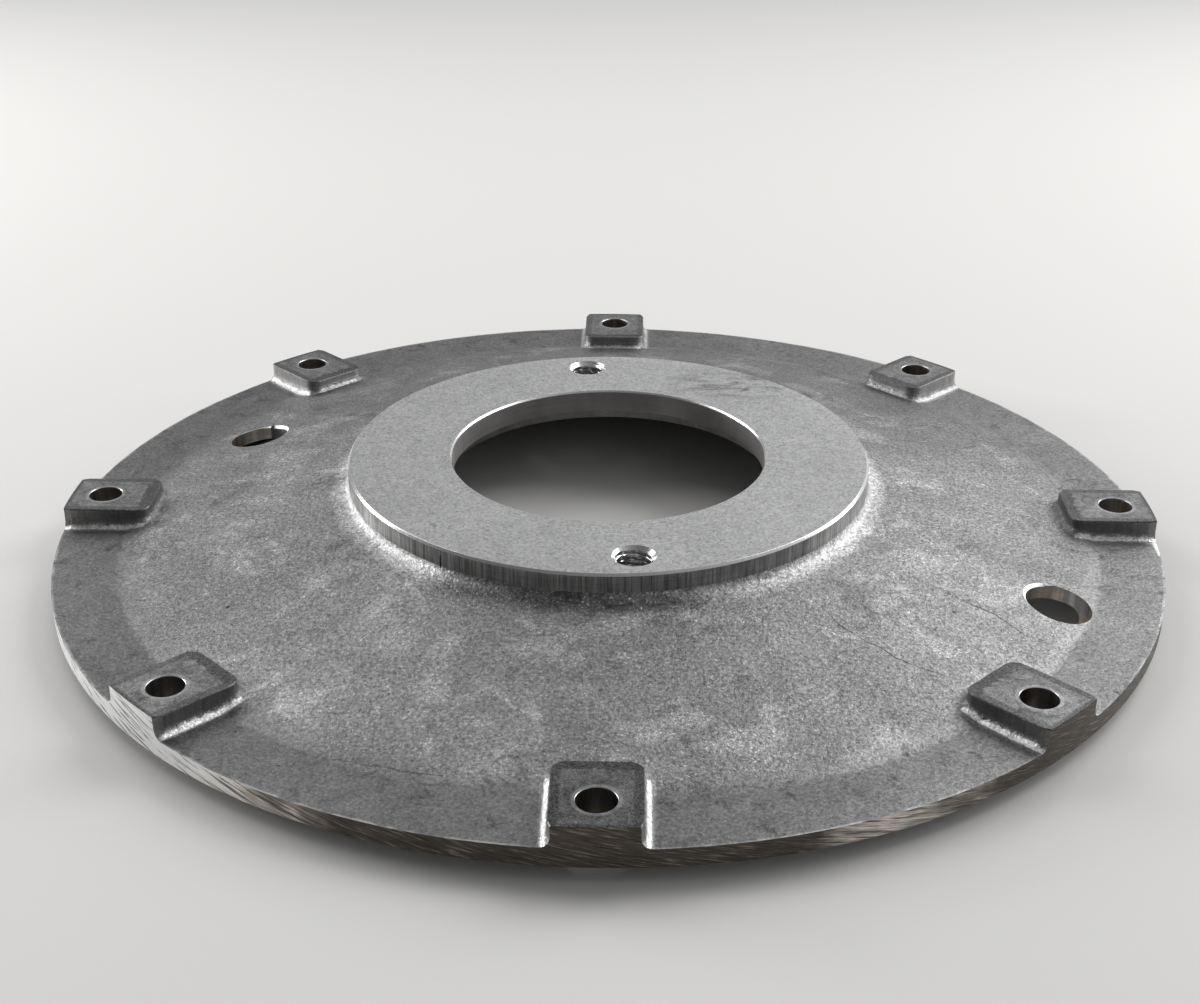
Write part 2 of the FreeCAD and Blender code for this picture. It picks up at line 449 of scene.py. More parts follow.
def bolt_cutter(index):
    """Cutter for the plain hole through a pad, with its edge broken."""
    broken = 0.16 * MM
    rows = (
        (HOUSING_BOLT_RADIUS, 0.0),
        (HOUSING_BOLT_RADIUS, PAD_TOP - broken),
        (HOUSING_BOLT_RADIUS + 2 * broken, PAD_TOP + broken),
        (HOUSING_BOLT_RADIUS, PAD_TOP + 3 * MM),
    )
    return drill(f"bolt_{index}", at_angle(HOUSING_BOLT_CIRCLE, index * PAD_PITCH), rows, BOLT_SECTORS)


def lip_cutter(name, hole, stations):
    """Cutter for a slanting lip along a drilled hole's edge."""
    degrees = np.arange(min(stations)[0], max(stations)[0] + 1.0)
    widths = np.interp(degrees, *np.array(sorted(stations)).T)
    loops = []
    for turn, width in zip(degrees, widths):
        way = at_angle(1.0, turn)
        edge = at_angle(*hole) + way * DRILLED_RADIUS
        top = dish_height_at(edge)
        loop = []
        for reach, rise in ((-1.0, -width - 1.0), (width + 0.5, 0.5), (-1.0, 0.5)):
            point = edge + way * reach * MM
            loop.append((point.x, point.y, top + rise * MM))
        loops.append(np.array(loop))
    return stacked_loops(name, loops)


def gap_cutter(hole, start, end, corners):
    """Thin three-sided cutter along a drilled hole's edge, from (reach outside it, rise) in mm."""
    loops = []
    for share in np.linspace(0.0, 1.0, 10):
        way = at_angle(1.0, start + (end - start) * share)
        swell = math.sin(math.pi * (0.1 + 0.8 * share ** 1.5))
        loop = []
        for reach, rise in corners:
            point = at_angle(*hole) + way * (DRILLED_RADIUS + reach * MM)
            loop.append((point.x, point.y, dish_height_at(point) + rise * swell * MM))
        loops.append(np.array(loop))
    return stacked_loops("lip_gap", loops)


def nick_cutter(hole, degrees):
    """Cutter for a nick across a drilled hole's edge."""
    middle = at_angle(*hole)
    way = at_angle(1.0, degrees)
    side = at_angle(NICK_HALF_WIDTH, degrees + 90)
    loops = []
    for reach, below in ((-0.8 * MM, 1.3 * MM), (1.0 * MM, 0.5 * MM)):
        foot = middle + way * (DRILLED_RADIUS + reach)
        top = dish_height_at(foot)
        corners = (foot + side, foot - side)
        low = [(*corner[:2], top - below) for corner in corners]
        high = [(*corner[:2], top + 0.8 * MM) for corner in corners[::-1]]
        loops.append(np.array(low + high))
    return stacked_loops("edge_notch", loops)


def joined(items, name):
    """One object from several that don't touch."""
    vertices, faces = [], []
    for item in items:
        low = len(vertices)
        vertices += [tuple(v.co) for v in item.data.vertices]
        faces += [tuple(low + index for index in face.vertices) for face in item.data.polygons]
        bpy.data.objects.remove(item)
    return closed_mesh(name, vertices, faces)


def combine(item, other, operation):
    """Applies a boolean of two closed meshes and removes the second."""
    modifier = item.modifiers.new("combine", "BOOLEAN")
    modifier.operation = operation
    modifier.solver = "MANIFOLD"
    modifier.object = other
    evaluated = item.evaluated_get(bpy.context.evaluated_depsgraph_get())
    mesh = bpy.data.meshes.new_from_object(evaluated)
    item.modifiers.clear()
    item.data = mesh
    bpy.data.objects.remove(other)


def casting_section():
    """Section of the turned body: each corner has its rounding and the step of the run after it."""
    fine, wide = 2.0 * MM, 6.0 * MM
    edge = 0.12 * MM
    stock = CAST_PAD_END + 8 * MM
    return rounded_profile([
        (BORE_RADIUS + BORE_EDGE_BREAK, HUB_TOP, 0.0, 11 * MM),
        (HUB_RADIUS - HUB_EDGE_BREAK, HUB_TOP, edge, 1 * MM),
        (HUB_RADIUS, HUB_TOP - HUB_EDGE_BREAK, edge, 1.6 * MM),
        (HUB_RADIUS, HUB_ROOT, HUB_ROOT_FILLET, fine),
        (DISH_FOOT_RADIUS, RIM_TOP, DISH_FOOT_BLEND, 2.4 * MM),
        (stock, RIM_TOP, 0.0, wide),
        (stock, RIM_BOTTOM, 0.0, 10 * MM),
        (REGISTER_RADIUS, RIM_BOTTOM, 0.0, 2 * MM),
        (REGISTER_RADIUS, REGISTER_LEAD, 0.0, 1 * MM),
        (REGISTER_RADIUS - REGISTER_LEAD, 0.0, 0.0, 2 * MM),
        (REGISTER_INNER, 0.0, edge, 2 * MM),
        (REGISTER_INNER, UNDERSIDE_EDGE, UNDERSIDE_EDGE_ROUNDING, 5 * MM),
        (UNDERSIDE_INNER, HUB_BOTTOM, UNDERSIDE_INNER_ROUNDING, 8 * MM),
        (RELIEF_RADIUS, HUB_BOTTOM, 0.0, 4 * MM),
        (RELIEF_RADIUS, LAND_BOTTOM, 0.0, 4 * MM),
        (BORE_RADIUS, LAND_BOTTOM, edge, 2.4 * MM),
        (BORE_RADIUS, HUB_TOP - BORE_EDGE_BREAK, edge, 1 * MM),
    ])


def casting_mesh():
    """The whole flange as one closed mesh, before its surfaces are roughened."""
    casting = full_turn("flange_casting", casting_section(), BODY_SECTORS)
    combine(casting, joined([pad_solid(index) for index in range(PAD_COUNT)], "pads"), "UNION")
    rows = [(RIM_RADIUS, height * MM) for height in TURNED_EDGE_ROWS]
    combine(casting, drill("turning", (0.0, 0.0), rows, TURNED_EDGE_SECTORS), "INTERSECT")
    chance = random.Random(SEED + 1)
    cutters = flaw_cutters()
    for index in range(PAD_COUNT):
        cutters.append(mill_step(index, chance.uniform(2.4, 3.8) * MM))
        cutters.append(bolt_cutter(index))
    for index, degrees in enumerate(TAPPED_ANGLES):
        cutters.append(tap(f"tap_{index}", at_angle(TAPPED_CIRCLE, degrees), 0.3 * index))
    for index, hole in enumerate(DRILLED_HOLES):
        rows = ((DRILLED_RADIUS, -MM), (DRILLED_RADIUS, 40 * MM))
        cutters.append(drill(f"drilled_{index}", at_angle(*hole), rows, DRILLED_SECTORS))
    combine(casting, joined(cutters, "cutters"), "DIFFERENCE")
    right_hole, left_hole = DRILLED_HOLES
    lips = [
        lip_cutter("right_lip", right_hole, RIGHT_LIP),
        lip_cutter("left_lip", left_hole, LEFT_LIP),
        lip_cutter("left_end_lip", left_hole, LEFT_LIP_END),
    ]
    combine(casting, joined(lips, "lips"), "DIFFERENCE")
    combine(casting, nick_cutter(left_hole, NICK_DEGREES), "DIFFERENCE")
    combine(casting, gap_cutter(right_hole, *LIP_GAP_SPAN, LIP_GAP), "DIFFERENCE")
    return casting


def smooth_step(value, low, high):
    share = np.clip((value - low) / (high - low), 0.0, 1.0)
    return share * share * (3 - 2 * share)


def cast_wave(x, y):
    """Height of the cast skin's low waves at a point, in mm."""
    broad = noise.noise(Vector((x * 38, y * 38, 3.0)))
    fine = noise.noise(Vector((x * 150, y * 150, 9.0)))
    return 0.09 * broad + 0.045 * fine


def roughen(mesh):
    """Gives the cast surfaces low waves and a lumpy hub root; machined faces stay true."""
    flat = np.empty(len(mesh.vertices) * 3)
    mesh.vertices.foreach_get("co", flat)
    points = flat.reshape(-1, 3)
    x, y, z = points.T
    radius = np.hypot(x, y)
    waves = np.array([cast_wave(east, north) for east, north in zip(x, y)]) * MM
    away_from_hub = smooth_step(radius, HUB_RADIUS + 0.1 * MM, HUB_RADIUS + 3 * MM)
    above_face = smooth_step(z, RIM_BOTTOM + 0.4 * MM, RIM_BOTTOM + 3 * MM)
    below_pad_top = 1 - smooth_step(z, PAD_TOP - 3.4 * MM, PAD_TOP - 0.5 * MM)
    below_pad_top[radius < PAD_INNER - 4 * MM] = 1.0
    z += waves * away_from_hub * above_face * below_pad_top
    at_root = smooth_step(radius, HUB_RADIUS + 0.15 * MM, HUB_RADIUS + 1.2 * MM)
    at_root *= 1 - smooth_step(radius, HUB_RADIUS + 3.5 * MM, HUB_RADIUS + 8 * MM)
    at_root *= z > HUB_BOTTOM
    for index in np.flatnonzero(at_root > 0):
        place = Vector(points[index])
        lump = noise.noise(place * 420) * 0.07 + noise.noise(place * 150) * 0.1
        east, north = x[index] / radius[index], y[index] / radius[index]
        points[index] += lump * at_root[index] * MM * np.array((east * 0.6, north * 0.6, 0.8))
    mesh.vertices.foreach_set("co", points.ravel())
    mesh.update()


class Graph:
    """Shader nodes of one material, written as short expressions."""

    def __init__(self, name, metallic=1.0):
        self.material = bpy.data.materials.new(name)
        self.material.use_nodes = True
        self.tree = self.material.node_tree
        self.shader = self.tree.nodes["Principled BSDF"]
        self.shader.inputs["Metallic"].default_value = metallic

    def node(self, kind, **settings):
        made = self.tree.nodes.new(kind)
        for key, value in settings.items():
            setattr(made, key, value)
        return made

    def put(self, socket, value):
        if isinstance(value, bpy.types.NodeSocket):
            self.tree.links.new(value, socket)
        else:
            socket.default_value = value

    def put_all(self, made, **values):
        """Fills a node's inputs by name; an underscore stands for a space."""
        for name, value in values.items():
            self.put(made.inputs[name.replace("_", " ")], value)
        return made

    def math(self, operation, *values):
        made = self.node("ShaderNodeMath", operation=operation)
        for socket, value in zip(made.inputs, values):
            self.put(socket, value)
        return made.outputs[0]

    def add(self, first, *others):
        for other in others:
            first = self.math("ADD", first, other)
        return first

    def sub(self, first, second):
        return self.math("SUBTRACT", first, second)

    def mul(self, first, *others):
        for other in others:
            first = self.math("MULTIPLY", first, other)
        return first

    def larger(self, first, second):
        return self.math("MAXIMUM", first, second)

    def length(self, first, second):
        return self.math("SQRT", self.add(self.mul(first, first), self.mul(second, second)))

    def ramp(self, value, low, high, start=0.0, end=1.0):
        """Smooth step from start to end while value goes from low to high."""
        made = self.node("ShaderNodeMapRange", interpolation_type="SMOOTHSTEP", clamp=True)
        self.put_all(made, Value=value, From_Min=low, From_Max=high, To_Min=start, To_Max=end)
        return made.outputs["Result"]

    def band(self, value, low, high, soft):
        """One between low and high, zero outside, with soft ends."""
        rise = self.ramp(value, low - soft, low)
        return self.mul(rise, self.ramp(value, high, high + soft, 1.0, 0.0))

    def centred(self, value, reach):
        """A noise value as a length about zero."""
        return self.mul(self.sub(value, 0.5), reach)

    def swing(self, value, amount):
        """A noise value as a factor about one."""
        return self.add(self.centred(value, amount), 1.0)

    def mix(self, factor, first, second):
        made = self.node("ShaderNodeMix", data_type="FLOAT")
        return self.put_all(made, Factor=factor, A=first, B=second).outputs["Result"]

    def grey(self, value, warm=0.0):
        """Colour of a brightness, with a little more red than blue where warm is above zero."""
        red = self.mul(value, self.add(1.0, warm))
        blue = self.mul(value, self.sub(1.0, warm))
        made = self.node("ShaderNodeCombineColor")
        return self.put_all(made, Red=red, Green=value, Blue=blue).outputs["Color"]

    def noise(self, vector, scale, detail=2.0, rough=0.5, distortion=0.0):
        made = self.node("ShaderNodeTexNoise")
        self.put_all(made, Vector=vector, Scale=scale, Detail=detail, Roughness=rough)
        return self.put_all(made, Distortion=distortion).outputs["Fac"]

    def vector(self, x, y, z):
        made = self.node("ShaderNodeCombineXYZ")
        return self.put_all(made, X=x, Y=y, Z=z).outputs[0]

    def scaled(self, x, y, z, by_x, by_y, by_z):
        return self.vector(self.mul(x, by_x), self.mul(y, by_y), self.mul(z, by_z))

    def parts(self, vector):
        made = self.node("ShaderNodeSeparateXYZ")
        self.put(made.inputs[0], vector)
        return made.outputs[0], made.outputs[1], made.outputs[2]

    def place(self):
        """The point on the part."""
        return self.node("ShaderNodeTexCoord").outputs["Object"]

    def position(self):
        """The point on the part, its coordinates and its distance from the shaft axis."""
        place = self.place()
        x, y, z = self.parts(place)
        return place, x, y, z, self.length(x, y)

    def pad_coordinates(self, x, y, radius):
        """Distances along and across the nearest pad's middle line."""
        pitch = math.radians(PAD_PITCH)
        angle = self.math("ARCTAN2", y, x)
        nearest = self.mul(self.math("ROUND", self.math("DIVIDE", angle, pitch)), pitch)
        folded = self.sub(angle, nearest)
        along = self.mul(radius, self.math("COSINE", folded))
        return along, self.mul(radius, self.math("SINE", folded))

    def bump(self, height, distance):
        made = self.put_all(self.node("ShaderNodeBump"), Height=height, Distance=distance, Strength=1.0)
        self.put(self.shader.inputs["Normal"], made.outputs["Normal"])

    def finish(self, colour, roughness):
        self.put_all(self.shader, Base_Color=colour, Roughness=roughness)
        return self.material


def cast_skin():
    """Blasted dish and smoother rim, with clouds, radial flow streaks, frosted spots and stains, with
    painted shade and light by side, a painted highlight round the hub's root and a painted highlight on
    the rim's edge.
    """
    g = Graph("cast_skin")
    place, x, y, z, radius = g.position()
    ragged = g.centred(g.noise(place, 55.0, 6.0, 0.72), 14.0 * MM)
    rim = g.ramp(g.add(radius, ragged), 149.5 * MM, 158.5 * MM)
    clouds = g.noise(place, 26.0, 4.0, 0.62)
    patches = g.noise(place, 95.0, 3.0, 0.6, 0.6)
    way_x = g.mul(g.math("DIVIDE", x, radius), 9.0)
    way_y = g.mul(g.math("DIVIDE", y, radius), 9.0)
    flow = g.noise(g.vector(way_x, way_y, g.mul(radius, 9.0)), 1.0, 3.0, 0.65)
    grain = g.noise(place, 950.0, 3.0, 0.8)
    fleck = g.noise(place, 1500.0, 1.0, 0.5)
    frosted = g.mul(g.ramp(g.noise(place, 42.0, 6.0, 0.7, 0.9), 0.5, 0.64), g.sub(1.0, rim))
    for distance, degrees, reach in FROSTED_PATCHES:
        middle = at_angle(distance, degrees)
        away = g.length(g.sub(x, middle.x), g.sub(y, middle.y))
        patch = g.ramp(g.add(away, g.mul(ragged, -0.9)), 0.3 * reach, reach, 0.8, 0.0)
        frosted = g.larger(frosted, patch)
    # The hub's root band: rough skin that gets a painted highlight everywhere but at its front, where it
    # gets blotches of painted shade instead.
    root = g.ramp(g.add(radius, g.mul(ragged, 0.16)), 87.0 * MM, 91.5 * MM, 1.0, 0.0)
    root = g.mul(root, g.ramp(z, 21.8 * MM, 23.2 * MM))
    in_front = g.ramp(g.add(g.mul(x, -0.122), g.mul(y, -0.993)), 74.0 * MM, 84.0 * MM)

    # Painted shade and light: the dish gets darker towards the back and the rim lighter towards the
    # right, and both are darker round a spot in front of the hub and at the far left.
    dish_tone_and_shade = g.ramp(y, 20.0 * MM, 105.0 * MM, 0.235, 0.172)
    rim_tone_and_light = g.ramp(x, 10.0 * MM, 130.0 * MM, 0.19, 0.25)
    from_front = g.length(g.sub(x, 5.0 * MM), g.add(y, 125.0 * MM))
    front_shade = g.ramp(from_front, 18.0 * MM, 55.0 * MM, 0.88, 1.0)
    left_shade = g.ramp(x, -140.0 * MM, -70.0 * MM, 0.88, 1.0)
    tone = g.mul(g.mix(rim, dish_tone_and_shade, rim_tone_and_light), front_shade, left_shade)
    tone = g.mul(tone, g.swing(clouds, 0.6), g.swing(patches, 0.45))
    tone = g.mul(tone, g.swing(flow, g.mix(rim, 0.6, 0.2)))
    tone = g.mul(tone, g.add(1.0, g.mul(frosted, 0.42)))
    # Painted highlight on the hub's root, turned to slight painted shade at its front.
    tone = g.mul(tone, g.add(1.0, g.mul(root, g.mix(in_front, 0.75, -0.1))))
    tone = g.mul(tone, g.swing(grain, g.mix(rim, 3.1, 2.2)))

    # The flecks are brighter on the frosted spots, and on the hub's root as part of its painted
    # highlight.
    dish_fleck = g.add(0.16, g.mul(g.add(frosted, root), 0.2))
    bright_flecks = g.mul(g.ramp(fleck, 0.6, 0.72), g.mix(rim, dish_fleck, 0.07))
    stain = g.mul(g.ramp(g.noise(place, 60.0, 5.0, 0.7, 0.8), 0.55, 0.68), 0.28)
    foot_line = g.band(g.add(radius, ragged), 157.0 * MM, 157.6 * MM, 0.5 * MM)
    foot_shade = g.mul(foot_line, g.ramp(patches, 0.5, 0.62, 0.0, 0.3))
    root_blotch = g.ramp(g.noise(place, 120.0, 5.0, 0.72, 0.8), 0.48, 0.64)
    root_shade = g.mul(root_blotch, g.mul(root, in_front, 0.45))
    shade = g.add(stain, foot_shade, root_shade)
    tone = g.mul(g.add(tone, bright_flecks), g.sub(1.0, shade))

    from_axis = g.add(radius, g.mul(ragged, 0.08))
    worn_edge = g.ramp(from_axis, RIM_RADIUS - 0.9 * MM, RIM_RADIUS - 0.3 * MM)
    tone = g.add(tone, g.mul(worn_edge, g.ramp(patches, 0.42, 0.56, 0.04, 0.2)))
    # Painted highlight: a white spot on the rim's top edge just in front of the right-hand pad.
    rim_edge_highlight = g.mul(g.band(y, -22.0 * MM, -15.0 * MM, 1.5 * MM), g.ramp(x, 175.4 * MM, 176.2 * MM))
    tone = g.add(tone, g.mul(rim_edge_highlight, 0.5))
    oil = g.ramp(g.noise(place, 130.0, 5.0, 0.72, 0.5), 0.57, 0.66)
    tone = g.mul(tone, g.sub(1.0, g.mul(oil, g.mul(rim, 0.4))))

    relief = g.add(grain, g.mul(g.noise(place, 420.0, 2.0, 0.5), 0.8))
    g.bump(relief, g.mix(rim, 0.32 * MM, 0.14 * MM))
    return g.finish(g.grey(tone, 0.004), g.mul(g.mix(rim, 0.5, 0.46), g.swing(patches, 0.3)))


def cast_fillet():
    """Rough cast skin in the fillets at the pads' feet, with a painted highlight along each fillet's
    middle, brightest on the pads' sides towards the front.
    """
    g = Graph("cast_fillet")
    place, x, y, _, radius = g.position()
    along, across = g.pad_coordinates(x, y, radius)
    beyond_side = g.sub(g.math("ABSOLUTE", across), PAD_HALF_WIDTH)
    beyond_end = g.sub(PAD_INNER, along)
    outside = g.larger(beyond_side, beyond_end)
    grain = g.noise(place, 1150.0, 3.0, 0.8)
    lumps = g.noise(place, 380.0, 3.0, 0.6)
    # Painted highlight along each fillet's middle: strong on the sides in front, weaker at the back, and
    # left out at the inner ends in front.
    core = g.band(g.add(outside, g.centred(lumps, 1.2 * MM)), 0.8 * MM, 1.4 * MM, 0.6 * MM)
    at_inner_end = g.ramp(g.sub(beyond_end, beyond_side), -MM, MM)
    side_highlight = g.ramp(y, 60.0 * MM, 100.0 * MM, 0.7, 0.42)
    end_highlight = g.ramp(y, 50.0 * MM, 95.0 * MM, 0.2, 0.4)
    core_highlight = g.mix(at_inner_end, side_highlight, end_highlight)
    tone = g.mul(g.mix(core, 0.22, core_highlight), g.swing(lumps, 1.1), g.swing(grain, 2.4))
    g.bump(g.add(grain, g.mul(lumps, 0.8)), 0.34 * MM)
    return g.finish(g.grey(g.math("MINIMUM", tone, 1.0)), g.mul(0.36, g.swing(grain, 0.4)))


def pad_wall_and_shade():
    """Dark cast sides of the pads; the same dark skin is also laid as painted shade on the relief wall
    below the bore and in the nick at the left hole's edge.
    """
    g = Graph("pad_wall_and_shade")
    place, x, y, z, _ = g.position()
    grain = g.noise(place, 1300.0, 3.0, 0.7)
    cloud = g.noise(place, 120.0, 3.0, 0.6)
    drag = g.noise(g.scaled(x, y, z, 500.0, 500.0, 60.0), 1.0, 2.0, 0.6)
    base = g.ramp(y, 40.0 * MM, 100.0 * MM, 0.2, 0.3)
    tone = g.mul(base, g.swing(cloud, 0.7), g.swing(grain, 1.1), g.swing(drag, 0.6))
    g.bump(grain, 0.1 * MM)
    return g.finish(g.grey(tone, 0.02), g.mul(0.5, g.swing(cloud, 0.3)))


def pad_top():
    """Milled pad tops: dull, scuffed, with a rubbed ring round each hole and a dark worn border."""
    g = Graph("pad_top")
    place, x, y, z, radius = g.position()
    along, across = g.pad_coordinates(x, y, radius)
    from_middle = g.math("ABSOLUTE", across)
    from_hole = g.length(g.sub(along, HOUSING_BOLT_CIRCLE), across)
    scuff = g.noise(place, 210.0, 5.0, 0.65, 1.6)
    swirl = g.noise(place, 420.0, 3.0, 0.6, 3.0)
    grain = g.noise(place, 1800.0, 2.0, 0.7)
    scratches = g.noise(g.scaled(x, y, z, 260.0, 2400.0, 1.0), 1.0, 2.0, 0.6, 0.4)
    broad = g.noise(place, 75.0, 4.0, 0.65, 0.7)
    ragged = g.centred(scuff, 2.4 * MM)
    inner = g.ramp(g.add(along, g.mul(ragged, 2.2)), PAD_INNER + 4.2 * MM, PAD_INNER + 3.7 * MM)
    beside = g.add(from_middle, g.mul(ragged, 1.6))
    border = g.ramp(beside, PAD_HALF_WIDTH - 2.8 * MM, PAD_HALF_WIDTH - 2.3 * MM)
    outer = g.ramp(g.add(along, ragged), RIM_RADIUS - 1.6 * MM, RIM_RADIUS - 0.7 * MM)
    worn = g.larger(g.larger(inner, g.mul(border, 0.8)), outer)
    base = g.ramp(y, -165.0 * MM, -125.0 * MM, 0.105, 0.165)
    tone = g.mul(base, g.swing(scuff, 2.8), g.swing(grain, 1.8))
    tone = g.mul(tone, g.swing(scratches, 0.5), g.swing(broad, 1.2))
    tone = g.mul(tone, g.mix(g.mul(worn, g.ramp(scuff, 0.36, 0.56, 0.6, 1.0)), 1.12, 0.4))
    light_swirl = g.mul(g.band(swirl, 0.52, 0.54, 0.02), 0.15)
    ring_start = HOUSING_BOLT_RADIUS + 0.3 * MM
    ring = g.mul(g.band(from_hole, ring_start, ring_start + 0.5 * MM, 0.6 * MM), 0.12)
    tone = g.add(tone, g.add(light_swirl, ring))
    g.bump(g.add(g.mul(scratches, 0.5), g.mul(swirl, 0.4)), g.mix(worn, 0.03 * MM, 0.09 * MM))
    return g.finish(g.grey(tone, 0.005), g.mul(0.4, g.swing(scuff, 0.7)))


def hub_face():
    """Faced top of the hub: light, with faint tool rings, dark specks and handling smudges."""
    g = Graph("hub_face")
    place, x, y, z, radius = g.position()
    rings = g.noise(g.scaled(x, y, radius, 9.0, 9.0, 2600.0), 1.0, 2.0, 0.6)
    specks = g.ramp(g.noise(place, 1000.0, 2.0, 0.7), 0.56, 0.7)
    clouds = g.noise(place, 35.0, 4.0, 0.6)
    from_smudge = g.length(g.sub(x, 44.0 * MM), g.mul(g.sub(y, 59.0 * MM), 1.5))
    streaks = g.noise(g.scaled(x, y, z, 90.0, 230.0, 1.0), 1.0, 6.0, 0.75, 0.5)
    smudge = g.mul(g.ramp(from_smudge, 10.0 * MM, 32.0 * MM, 1.0, 0.0), g.ramp(streaks, 0.43, 0.6))
    spots = g.ramp(g.noise(place, 240.0, 3.0, 0.6, 0.5), 0.64, 0.72)
    spots = g.mul(spots, g.ramp(clouds, 0.45, 0.6))
    fine = g.noise(place, 1200.0, 2.0, 0.7)
    mottle = g.noise(place, 260.0, 3.0, 0.6)
    tone = g.mul(0.58, g.swing(clouds, 0.35), g.swing(rings, 0.3), g.swing(fine, 1.3))
    tone = g.mul(tone, g.swing(mottle, 0.4))
    dark = g.add(g.mul(specks, 0.42), g.add(g.mul(smudge, 0.45), g.mul(spots, 0.3)))
    g.bump(g.add(rings, g.mul(fine, 0.5)), 0.016 * MM)
    return g.finish(g.grey(g.mul(tone, g.sub(1.0, dark)), 0.008), g.add(0.3, g.mul(smudge, 0.15)))


def hub_side():
    """Turned side of the hub, streaked from top to bottom and darker at its foot."""
    g = Graph("hub_side")
    place, x, y, z, _ = g.position()
    streaks = g.noise(g.scaled(x, y, z, 1500.0, 1500.0, 55.0), 1.0, 2.0, 0.6)
    grooves = g.noise(g.scaled(x, y, z, 25.0, 25.0, 3200.0), 1.0, 2.0, 0.6)
    stain = g.noise(place, 130.0, 4.0, 0.65)
    broad = g.noise(g.scaled(x, y, z, 320.0, 320.0, 30.0), 1.0, 2.0, 0.6)
    height = g.add(z, g.centred(stain, 3.0 * MM))
    foot = g.ramp(height, HUB_ROOT + 2.4 * MM, HUB_ROOT + 4.6 * MM, 0.8, 1.0)
    tone = g.mul(g.mul(0.33, g.swing(streaks, 2.2)), g.mul(g.swing(stain, 0.9), g.swing(broad, 1.0)))
    g.bump(g.add(grooves, g.mul(streaks, 0.7)), 0.1 * MM)
    return g.finish(g.grey(g.mul(tone, foot), 0.01), 0.36)


def bright_cut():
    """Fresh cuts: countersinks, threads and broken edges."""
    g = Graph("bright_cut")
    marks = g.noise(g.place(), 1400.0, 2.0, 0.6)
    g.bump(marks, 0.02 * MM)
    return g.finish(g.grey(g.mul(0.7, g.swing(marks, 0.4))), 0.2)


def hole_lip():
    """Lips scraped round the drilled holes: freshly cut, and so nearly white."""
    g = Graph("hole_lip")
    marks = g.noise(g.place(), 1100.0, 3.0, 0.6)
    g.bump(marks, 0.03 * MM)
    return g.finish(g.grey(g.mul(0.95, g.swing(marks, 0.25))), 0.58)


def bore_wall():
    """Bored wall with fine rings, darker towards the back, and lighter at its left as a painted
    highlight.
    """
    g = Graph("bore_wall")
    place, x, y, z, _ = g.position()
    rings = g.noise(g.scaled(x, y, z, 20.0, 20.0, 3500.0), 1.0, 2.0, 0.6)
    cloud = g.noise(place, 70.0, 3.0, 0.6)
    bands = g.noise(g.scaled(x, y, z, 75.0, 75.0, 8.0), 1.0, 2.0, 0.6)
    base = g.ramp(y, -5.0 * MM, 42.0 * MM, 0.4, 0.2)
    tone = g.mul(base, g.swing(cloud, 0.5), g.swing(rings, 0.4), g.swing(bands, 1.0))
    # Painted highlight at the left end of the bore.
    tone = g.mul(tone, g.ramp(x, -45.0 * MM, -15.0 * MM, 1.7, 1.0))
    g.bump(rings, 0.03 * MM)
    return g.finish(g.grey(tone, 0.03), 0.45)


def turned_edge():
    """Turned edge of the rim and pads, with slanting tool marks and bright nicks on a dull brownish
    ground that is partly a painted reflection of a dark floor, and painted highlights that brighten it on
    the left and on part of the right front.
    """
    g = Graph("turned_edge")
    place, x, y, z, _ = g.position()
    turned = g.node("ShaderNodeVectorRotate", rotation_type="Z_AXIS")
    g.put_all(turned, Vector=place, Angle=math.radians(67.5))
    east, north, _ = g.parts(turned.outputs[0])
    arc = g.mul(g.math("ARCTAN2", north, east), RIM_RADIUS)
    across = g.add(z, g.mul(arc, 0.22))
    marks = g.noise(g.scaled(arc, across, z, 130.0, 2000.0, 0.0), 1.0, 3.0, 0.65)
    broad = g.noise(g.scaled(arc, across, z, 60.0, 850.0, 0.0), 1.0, 2.0, 0.6)
    stain = g.noise(place, 40.0, 3.0, 0.6)
    nicks = g.ramp(marks, 0.56, 0.66)
    # Painted highlights on the left and on part of the right front lift the edge from its dark ground to
    # bright tool marks.
    shifted = g.add(x, g.centred(stain, 60 * MM))
    highlight_left = g.ramp(shifted, -66 * MM, -112 * MM)
    at_right = g.band(shifted, 66 * MM, 88 * MM, 20 * MM)
    highlight_right = g.mul(at_right, g.ramp(y, -90 * MM, -118 * MM, 0.0, 0.34))
    highlight_zone = g.larger(highlight_left, highlight_right)
    # Dark brownish ground, partly a painted reflection of a dark floor in shade.
    dull = g.mul(0.085, g.swing(marks, 2.2), g.swing(stain, 0.5))
    bright = g.mul(g.ramp(broad, 0.38, 0.52, 0.35, 1.5), g.swing(marks, 2.5), g.swing(stain, 0.3))
    tone = g.add(g.mix(highlight_zone, dull, bright), g.mul(nicks, g.mix(highlight_zone, 0.12, 0.4)))
    g.bump(g.add(marks, g.mul(broad, 0.8)), 0.2 * MM)
    return g.finish(g.grey(g.math("MINIMUM", tone, 1.0), g.mix(highlight_zone, 0.14, 0.0)), 0.42)


